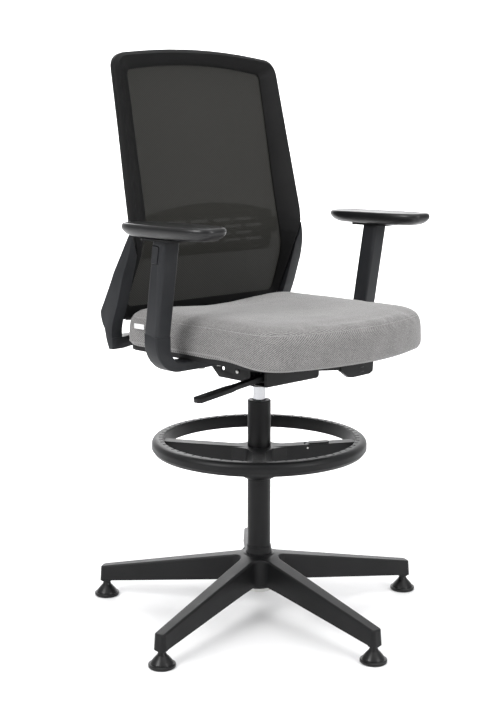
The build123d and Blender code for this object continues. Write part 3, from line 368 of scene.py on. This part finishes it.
MATERIALS = {
    "black_nylon": moulded("black_nylon", (0.0052, 0.0053, 0.0057), 0.42, specular=0.22),
    "glide_plastic": moulded("glide_plastic", (0.004, 0.004, 0.0043), 0.33, 0.03 * MM, 0.3),
    "grey_black_nylon": moulded("grey_black_nylon", (0.0125, 0.0133, 0.0152), 0.45, specular=0.25),
    "frame_black": moulded("frame_black", (0.004, 0.004, 0.0042), 0.5, 0.07 * MM, 0.13),
    "zinc_steel": metal("zinc_steel", (0.6, 0.6, 0.58), 0.34),
    "chrome": metal("chrome", (0.5, 0.505, 0.52), 0.1, (1, 1, 0.03)),
    "black_steel": powder_coat("black_steel", (0.0045, 0.0045, 0.0048)),
    "white_acetal": moulded("white_acetal", (0.75, 0.75, 0.72), 0.4),
    "seat_fabric": seat_cloth("seat_fabric", (0.32, 0.313, 0.309), (0.085, 0.083, 0.082)),
    "arm_pu": skin("arm_pu", (0.0055, 0.0055, 0.006)),
    "mesh_fabric": back_net("mesh_fabric", (0.005, 0.0049, 0.0038), (0.018, 0.0174, 0.0132)),
    "white_tag": plain_weave("white_tag", (0.82, 0.82, 0.82)),
    "seat_board": moulded("seat_board", (0.009, 0.009, 0.0095), 0.5, specular=0.2),
}
HEM = plain_weave("seat_hem_weave", (0.27, 0.266, 0.262))

slots = {part["node"]: part["material_slot"] for part in frame["record"]["subparts"]}
body_of = {n: b for b, names in frame["record"]["behaviour"]["bodies"].items() for n in names}
for node_name, obj in nodes.items():
    for material_slot in obj.material_slots:
        material_slot.material = MATERIALS[slots[node_name]]


# =====================================================================================================
# Hard parts: the CAD shape with its edges rounded over
# =====================================================================================================
def rounded_copy(node_name, radius, angle=28):
    """A copy of a CAD part with every sharp edge rounded by a small radius."""
    source = nodes[node_name]
    obj = new_object(f"{node_name}_shell", source.data.copy())
    bm = bmesh.new()
    bm.from_mesh(obj.data)
    bmesh.ops.remove_doubles(bm, verts=bm.verts, dist=0.02 * MM)
    bmesh.ops.dissolve_limit(bm, angle_limit=math.radians(1.2), verts=bm.verts, edges=bm.edges)
    bm.to_mesh(obj.data)
    bm.free()
    bevel = obj.modifiers.new("edges", "BEVEL")
    bevel.width = radius
    bevel.segments = 3
    bevel.limit_method = "ANGLE"
    bevel.angle_limit = math.radians(angle)
    bevel.use_clamp_overlap = True
    bevel.harden_normals = False
    apply_modifiers(obj)
    for face in obj.data.polygons:
        face.use_smooth = True
    obj.data.set_sharp_from_angle(angle=math.radians(40))
    finish_piece(obj, body_of[node_name], MATERIALS[slots[node_name]], (node_name,))
    return obj


ROUNDED = {
    "front_cover": 0.8, "height_lever": 1.2, "lock_lever": 1.2,
    "arm_bracket_left": 1.2, "arm_bracket_right": 1.2,
    "arm_sleeve_left": 0.8, "arm_sleeve_right": 0.8,
    "back_carrier": 3.0, "back_frame": 2.5, "lumbar_support": 0.8, "mech_housing": 0.6,
    "ring_lever": 0.8,
}
for node_name, radius in ROUNDED.items():
    rounded_copy(node_name, radius * MM)


# =====================================================================================================
# Seat cushion
# =====================================================================================================
CUSHION_POINTS = 160
SEAM_DROP = 15 * MM
SEAM_PULL = 1.1 * MM
SADDLE_DEPTH = 13 * MM
SADDLE_SPREAD = 0.14
TUCK_RISE = 10 * MM
DROOP_DEPTH = 5 * MM
DISH_DEPTH = 7 * MM
DISH_SPREAD = 0.13
NOSE_DROP = 10 * MM
VOXEL = 6 * MM
PUFF_PRESSURE = 3.0
PUFF_CAP = 5 * MM
WELT_RADIUS = 0.7 * MM
HEM_RADIUS = 1.9 * MM
HEM_RISE = 4 * MM
low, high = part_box("seat_cushion")
low, high = Vector(low), Vector(high)
seat_middle = Vector(((low.x + high.x) / 2, (low.y + high.y) / 2, 0))
outline = hull_outline(node_points("seat_cushion"), CUSHION_POINTS)


def blend(value, start, end):
    """A smooth step from 0 to 1 between two values."""
    t = max(0.0, min(1.0, (value - start) / (end - start)))
    return t * t * (3 - 2 * t)


def saddle(p):
    """How far the top lies below its highest level at a place: the rear middle is hollow."""
    return SADDLE_DEPTH * math.exp(-((p.x / SADDLE_SPREAD) ** 2)) * blend(p.y, -0.02, 0.15)


def tuck(p):
    """How far the cover's lower edge rolls up at a place: along the sides, but not at the front."""
    return TUCK_RISE * blend(abs(p.x), 0.15, 0.23) * blend(p.y, -0.27, -0.12)


def droop(p):
    """How far the cover hangs past the board at a place: along the front only."""
    return DROOP_DEPTH * blend(-p.y, 0.12, 0.25)


def cushion_ring(inset, z, roll=0.0, hang=0.0):
    """A ring of the cover: its foot rolls up at the sides and hangs in front, its top has the saddle."""
    ring = inset_ring(outline, inset)
    share = (z - low.z) / (high.z - low.z)
    return [Vector((p.x, p.y, z + roll * tuck(p) - hang * droop(p) - share * share * saddle(p)))
            for p in ring]


def shrunk_ring(share, z, crown):
    """An inner ring of the top, raised by the crown and dished behind the middle."""
    out = []
    base = inset_ring(outline, 30 * MM)
    for p in base:
        q = seat_middle + (p - seat_middle) * share
        back = max(0.0, min(1.0, (q.y - low.y) / (high.y - low.y)))
        dish = DISH_DEPTH * math.exp(-((q.x / DISH_SPREAD) ** 2)) * math.sin(math.pi * back) ** 2
        nose = NOSE_DROP * max(0.0, 1 - back / 0.22) ** 2
        out.append(Vector((q.x, q.y, z + crown - saddle(q) - dish * (1 - share * share) - nose)))
    return out


top = high.z - 6 * MM
profile = [(34, 0.6, 0, 0.8), (16, 0.6, 0, 1), (6, 1.5, 0.6, 1), (2.8, 5, 1, 1), (1.8, 12, 0.9, 0.8)]
loops = [cushion_ring(i * MM, low.z + z * MM, roll, hang) for i, z, roll, hang in profile]
shoulder = ((3.2, 40), (4.2, 28), (8, 18), (15, 11), (24, 7.5))
loops += [cushion_ring(i * MM, high.z - z * MM) for i, z in shoulder]
crowns = ((0.97, 1), (0.85, 3), (0.65, 4.5), (0.4, 5.4), (0.15, 5.8))
loops += [shrunk_ring(share, top, rise * MM) for share, rise in crowns]
cushion = new_object("seat_cushion_cover", loops_mesh("seat_cushion_cover", loops))
remesh = cushion.modifiers.new("voxels", "REMESH")
remesh.mode = "VOXEL"
remesh.voxel_size = VOXEL
apply_modifiers(cushion)


def inflate(obj, pressure, cap, frames=18):
    """Puff a closed fabric form with a cloth simulation, each point kept within a cap of its start."""
    start = [v.co.copy() for v in obj.data.vertices]
    scene = bpy.context.scene
    cloth = obj.modifiers.new("puff", "CLOTH")
    cloth.settings.quality = 6
    cloth.settings.mass = 0.25
    cloth.settings.tension_stiffness = 12
    cloth.settings.compression_stiffness = 12
    cloth.settings.shear_stiffness = 4
    cloth.settings.bending_stiffness = 0.6
    cloth.settings.use_pressure = True
    cloth.settings.uniform_pressure_force = pressure
    cloth.settings.effector_weights.gravity = 0
    cloth.collision_settings.use_collision = False
    cloth.point_cache.frame_start = 1
    cloth.point_cache.frame_end = frames
    for f in range(1, frames + 1):
        scene.frame_set(f)
    apply_modifiers(obj)
    scene.frame_set(1)
    for v, s in zip(obj.data.vertices, start):
        move = v.co - s
        if move.length > cap:
            v.co = s + move.normalized() * cap


inflate(cushion, PUFF_PRESSURE, PUFF_CAP)

# the underside stays flat on its board, and the border seam draws the cover in
seam_z = high.z - SEAM_DROP
for v in cushion.data.vertices:
    v.co.z = max(v.co.z, low.z + 0.4 * MM - droop(v.co))
    edge = min((Vector((v.co.x, v.co.y, 0)) - p).length for p in outline)
    near = math.exp(-(((v.co.z + saddle(v.co) - seam_z) / (3 * MM)) ** 2)) if edge < 0.04 else 0.0
    if near > 0.05:
        pull = (seat_middle - Vector((v.co.x, v.co.y, 0))).normalized()
        v.co += pull * near * SEAM_PULL
smooth = cushion.modifiers.new("even", "SMOOTH")
smooth.factor = 0.5
smooth.iterations = 3
sub = cushion.modifiers.new("sub", "SUBSURF")
sub.levels = 1
sub.render_levels = 1
apply_modifiers(cushion)
for face in cushion.data.polygons:
    face.use_smooth = True
finish_piece(cushion, "seat", MATERIALS["seat_fabric"], ("seat_cushion",))

# the border seam's welt, laid on the cover's surface all round
cover = BVHTree.FromObject(cushion, bpy.context.evaluated_depsgraph_get())


def lay_weave(obj):
    """Give each point its place along the two thread directions: round the border, or across the top."""
    lengths = [0.0]
    for p, q in zip(outline, outline[1:]):
        lengths.append(lengths[-1] + (q - p).length)
    warp = obj.data.attributes.new("weave_warp", "FLOAT", "POINT")
    weft = obj.data.attributes.new("weave_weft", "FLOAT", "POINT")
    for v in obj.data.vertices:
        if v.co.z + saddle(v.co) > seam_z:
            across, up = v.co.x, v.co.y
        else:
            flat = Vector((v.co.x, v.co.y, 0))
            k = min(range(len(outline)), key=lambda i: (outline[i] - flat).length_squared)
            along = (outline[(k + 1) % len(outline)] - outline[k - 1]).normalized()
            across, up = -lengths[k] - (flat - outline[k]).dot(along), v.co.z
        warp.data[v.index].value = across * 0.75 + up
        weft.data[v.index].value = across - up * 0.8


lay_weave(cushion)


def on_cover(p, z):
    """Point of the cover's side at a height, reached from outside the outline."""
    inward = (seat_middle - p).normalized()
    hit = cover.ray_cast(Vector((p.x, p.y, z)) - inward * 0.05, inward, 0.12)[0]
    return hit if hit else cover.find_nearest(Vector((p.x, p.y, z)))[0]


welt_path = [on_cover(p, seam_z - saddle(p)) for p in outline]
welt = tube("seat_border_seam", welt_path, WELT_RADIUS)
finish_piece(welt, "seat", MATERIALS["seat_fabric"])
hem_path = [on_cover(p, low.z + HEM_RISE + tuck(p) - droop(p)) for p in outline]
hem = tube("seat_hem", hem_path, HEM_RADIUS)
finish_piece(hem, "seat", HEM)


# =====================================================================================================
# Arm pads
# =====================================================================================================
def arm_pad(hand):
    """A moulded pad: rounded ends, rolled lip, dished top and a tucked underside."""
    a, b = (Vector(v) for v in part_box(f"arm_pad_{hand}"))
    middle = (a + b) / 2
    half_w, half_l, height = (b.x - a.x) / 2, (b.y - a.y) / 2, b.z - a.z
    count = 72

    def ring(scale_w, scale_l, z, power=3.2):
        out = []
        for i in range(count):
            t = 2 * math.pi * i / count
            c, s = math.cos(t), math.sin(t)
            x = math.copysign(abs(c) ** (2 / power), c) * half_w * scale_w
            y = math.copysign(abs(s) ** (2 / power), s) * half_l * scale_l
            out.append(Vector((middle.x + x, middle.y + y, z)))
        return out

    rings = [
        ring(0.52, 0.70, a.z + 0.5 * MM), ring(0.70, 0.82, a.z + 0.2 * MM),
        ring(0.86, 0.93, a.z + height * 0.22),
        ring(0.965, 0.985, a.z + height * 0.46), ring(0.995, 0.998, a.z + height * 0.62),
        ring(1.0, 1.0, a.z + height * 0.74), ring(0.985, 0.99, a.z + height * 0.87),
        ring(0.945, 0.975, a.z + height * 0.965), ring(0.88, 0.95, a.z + height),
        ring(0.74, 0.90, b.z - 1.2 * MM), ring(0.5, 0.8, b.z - 2.6 * MM), ring(0.22, 0.62, b.z - 3.4 * MM),
    ]
    obj = new_object(f"arm_pad_{hand}_skin", loops_mesh("pad", rings))
    sub = obj.modifiers.new("sub", "SUBSURF")
    sub.levels = 2
    apply_modifiers(obj)
    finish_piece(obj, f"arm_{hand}", MATERIALS["arm_pu"], (f"arm_pad_{hand}",))


for hand in ("left", "right"):
    arm_pad(hand)


# =====================================================================================================
# Back mesh
# =====================================================================================================
NET_ROWS = 90
NET_COLUMNS = 40
NET_BELLY = 3 * MM


def back_sheet():
    """The mesh as one stretched sheet that follows the CAD sheet's curve and outline."""
    points = node_points("back_mesh")
    a, b = (Vector(v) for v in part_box("back_mesh"))
    rows, columns = NET_ROWS, NET_COLUMNS
    front = sorted((p.z, p.y) for p in points)
    levels = sorted({round(z, 4) for z, _ in front})
    table = [(z, min(y for zz, y in front if abs(zz - z) < 0.6 * MM),
              max(abs(p.x) for p in points if abs(p.z - z) < 0.6 * MM)) for z in levels]
    wide = [row for row in table if row[2] > 0.1]
    corner_z = max(p.z for p in points if abs(p.x) > 0.17)
    crown = b.z - corner_z

    def look_up(z, column):
        if z <= wide[0][0]:
            return wide[0][column]
        for lower, upper in zip(wide, wide[1:]):
            if lower[0] <= z <= upper[0]:
                t = (z - lower[0]) / max(upper[0] - lower[0], 1e-9)
                return lower[column] + (upper[column] - lower[column]) * t
        return wide[-1][column]

    verts, faces = [], []
    for j in range(rows + 1):
        level = a.z + (corner_z - a.z) * j / rows
        half = look_up(min(level, corner_z - 3 * MM), 2)
        for i in range(columns + 1):
            u = -1 + 2 * i / columns
            z = level + crown * (1 - u * u) * (j / rows) ** 3
            belly = NET_BELLY * (1 - u * u) * math.sin(math.pi * j / rows)
            verts.append(Vector((half * u, look_up(z, 1) + 0.6 * MM + belly, z)))
    for j in range(rows):
        for i in range(columns):
            k = j * (columns + 1) + i
            faces.append((k, k + 1, k + columns + 2, k + columns + 1))
    obj = new_object("back_mesh_sheet", mesh_from("back_mesh_sheet", verts, faces))
    relax = obj.modifiers.new("relax", "SMOOTH")
    relax.iterations = 2
    apply_modifiers(obj)
    return obj, (b.x - a.x, b.z - a.z)


net, net_size = back_sheet()
finish_piece(net, "back", MATERIALS["mesh_fabric"], ("back_mesh",))
middle_line = [net.data.vertices[j * (NET_COLUMNS + 1) + NET_COLUMNS // 2].co for j in range(NET_ROWS + 1)]
length = sum((q - p).length for p, q in zip(middle_line, middle_line[1:]))


# =====================================================================================================
# Small visible details
# =====================================================================================================
def raised_bar(name, middle, size, body, slot):
    """A low raised mark: a slim bar with every edge rounded."""
    mesh = bpy.data.meshes.new(name)
    bm = bmesh.new()
    bmesh.ops.create_cube(bm, size=1.0)
    bmesh.ops.scale(bm, vec=size, verts=bm.verts)
    bmesh.ops.translate(bm, vec=middle, verts=bm.verts)
    bmesh.ops.bevel(bm, geom=bm.edges[:], offset=min(size) * 0.35, segments=2, affect="EDGES")
    bm.to_mesh(mesh)
    bm.free()
    finish_piece(new_object(name, mesh), body, MATERIALS[slot])


flag_low, flag_high = (Vector(v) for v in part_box("lock_lever"))
for row, rise in enumerate((10, 20)):
    place = Vector((flag_high.x - 43 * MM, flag_low.y, flag_low.z + rise * MM))
    raised_bar(f"lock_mark_{row + 1}", place, (18 * MM, 1.0 * MM, 1.6 * MM), "lock_handle",
               "grey_black_nylon")


paddle = BVHTree.FromObject(bpy.data.objects["height_lever_shell"], bpy.context.evaluated_depsgraph_get())
lever_low, lever_high = (Vector(v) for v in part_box("height_lever"))
for row, (reach, length) in enumerate(((28, 9), (34, 13), (41, 5))):
    above = Vector((lever_low.x + reach * MM, (lever_low.y + lever_high.y) / 2, lever_high.z + 10 * MM))
    place = paddle.ray_cast(above, Vector((0, 0, -1)))[0]
    raised_bar(f"height_mark_{row + 1}", place, (2.2 * MM, length * MM, 0.9 * MM), "height_handle",
               "grey_black_nylon")


def pan_head(name, middle, radius, body, slot):
    """A screw's pan head on a face that looks to -X, with a round recess."""
    mesh = bpy.data.meshes.new(name)
    bm = bmesh.new()
    rings = ((1.0, 0.0), (1.0, 0.3), (0.86, 0.48), (0.55, 0.58), (0.16, 0.6), (0.1, 0.3))
    sides = 20
    loops = []
    for share, rise in rings:
        loops.append([bm.verts.new((middle[0] - rise * radius, middle[1] + share * radius * math.cos(t),
                                    middle[2] + share * radius * math.sin(t)))
                      for t in (2 * math.pi * i / sides for i in range(sides))])
    for inner, outer in zip(loops, loops[1:]):
        for i in range(sides):
            j = (i + 1) % sides
            bm.faces.new((inner[i], inner[j], outer[j], outer[i]))
    bm.faces.new(loops[-1])
    bm.to_mesh(mesh)
    bm.free()
    finish_piece(new_object(name, mesh), body, MATERIALS[slot])


plate_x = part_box("mech_housing")[0][0]
SCREW_DEPTH = -26.4 * MM
SCREW_HEIGHT = 549.5 * MM
SCREW_RADIUS = 4.2 * MM
pan_head("housing_screw", (plate_x, SCREW_DEPTH, SCREW_HEIGHT), SCREW_RADIUS,
         body_of["mech_housing"], "zinc_steel")


# =====================================================================================================
# Stage, lights and camera
# =====================================================================================================
def stage():
    """A pale floor that curves up into the backdrop."""
    m = Shader("stage", (0.86, 0.86, 0.865), 0.7, specular=0.15)
    m.color(m.ramp(m.noise(1.2, 2.0), (0.85, 0.85, 0.855), (0.87, 0.87, 0.875)))
    heading = Vector((-math.sin(CAMERA_AZIMUTH), math.cos(CAMERA_AZIMUTH), 0))
    across = Vector((heading.y, -heading.x, 0))
    section = [(-7, 0)] + [(3.2 + 2 * math.sin(a), 2 - 2 * math.cos(a))
                           for a in (math.radians(d) for d in range(0, 91, 6))] + [(5.2, 7)]
    verts, faces = [], []
    for d, z in section:
        for side in (-9, 9):
            verts.append(heading * d + across * side + Vector((0, 0, z)))
    for k in range(len(section) - 1):
        faces.append((2 * k, 2 * k + 1, 2 * k + 3, 2 * k + 2))
    obj = new_object("backdrop", mesh_from("backdrop", verts, faces))
    give(obj, m.material)


def area_light(name, azimuth, height, distance, size, power, target=(0, 0, 0.6)):
    """A soft square lamp round the chair, aimed at a point."""
    light = bpy.data.lights.new(name, "AREA")
    light.energy = power
    light.size = size
    obj = bpy.data.objects.new(name, light)
    bpy.context.scene.collection.objects.link(obj)
    a = math.radians(azimuth)
    obj.location = (distance * math.sin(a), -distance * math.cos(a), height)
    aim = Vector(target) - obj.location
    obj.rotation_euler = aim.to_track_quat("-Z", "Y").to_euler()


def camera():
    data = bpy.data.cameras.new("camera")
    data.lens = CAMERA_LENS
    data.sensor_width = 36
    obj = bpy.data.objects.new("camera", data)
    bpy.context.scene.collection.objects.link(obj)
    a = CAMERA_AZIMUTH
    obj.location = (CAMERA_DISTANCE * math.sin(a), -CAMERA_DISTANCE * math.cos(a), CAMERA_HEIGHT)
    ahead = Vector((-math.sin(a), math.cos(a), 0))
    right = Vector((math.cos(a), math.sin(a), 0))
    level = ahead * math.cos(CAMERA_TURN) + right * math.sin(CAMERA_TURN)
    look = level * math.cos(CAMERA_PITCH) - Vector((0, 0, math.sin(CAMERA_PITCH)))
    obj.rotation_euler = look.to_track_quat("-Z", "Y").to_euler()
    bpy.context.scene.camera = obj


def studio():
    """A white world, dim at the horizon and bright overhead."""
    world = bpy.data.worlds.new("studio")
    world.use_nodes = True
    sky, link = world.node_tree.nodes, world.node_tree.links.new
    sky["Background"].inputs["Color"].default_value = (1, 1, 1, 1)
    upward = sky.new("ShaderNodeSeparateXYZ")
    strength = sky.new("ShaderNodeMapRange")
    strength.inputs["To Min"].default_value = 0.3
    strength.inputs["To Max"].default_value = 1.1
    link(sky.new("ShaderNodeTexCoord").outputs["Generated"], upward.inputs["Vector"])
    link(upward.outputs["Z"], strength.inputs["Value"])
    link(strength.outputs["Result"], sky["Background"].inputs["Strength"])
    bpy.context.scene.world = world


stage()
area_light("key", -92, 2.2, 2.8, 1.2, 62)
area_light("top", 20, 3.4, 0.6, 3.4, 58, (0, 0, 0.4))
area_light("fill", 5, 1.7, 3.2, 1.0, 40)
area_light("rim", 150, 2.2, 2.4, 1.4, 22)
area_light("backdrop", 135, 3.3, 2.4, 3.0, 260, (3.4, 3.4, 1.6))
studio()
bpy.context.scene.view_settings.view_transform = "Standard"
camera()
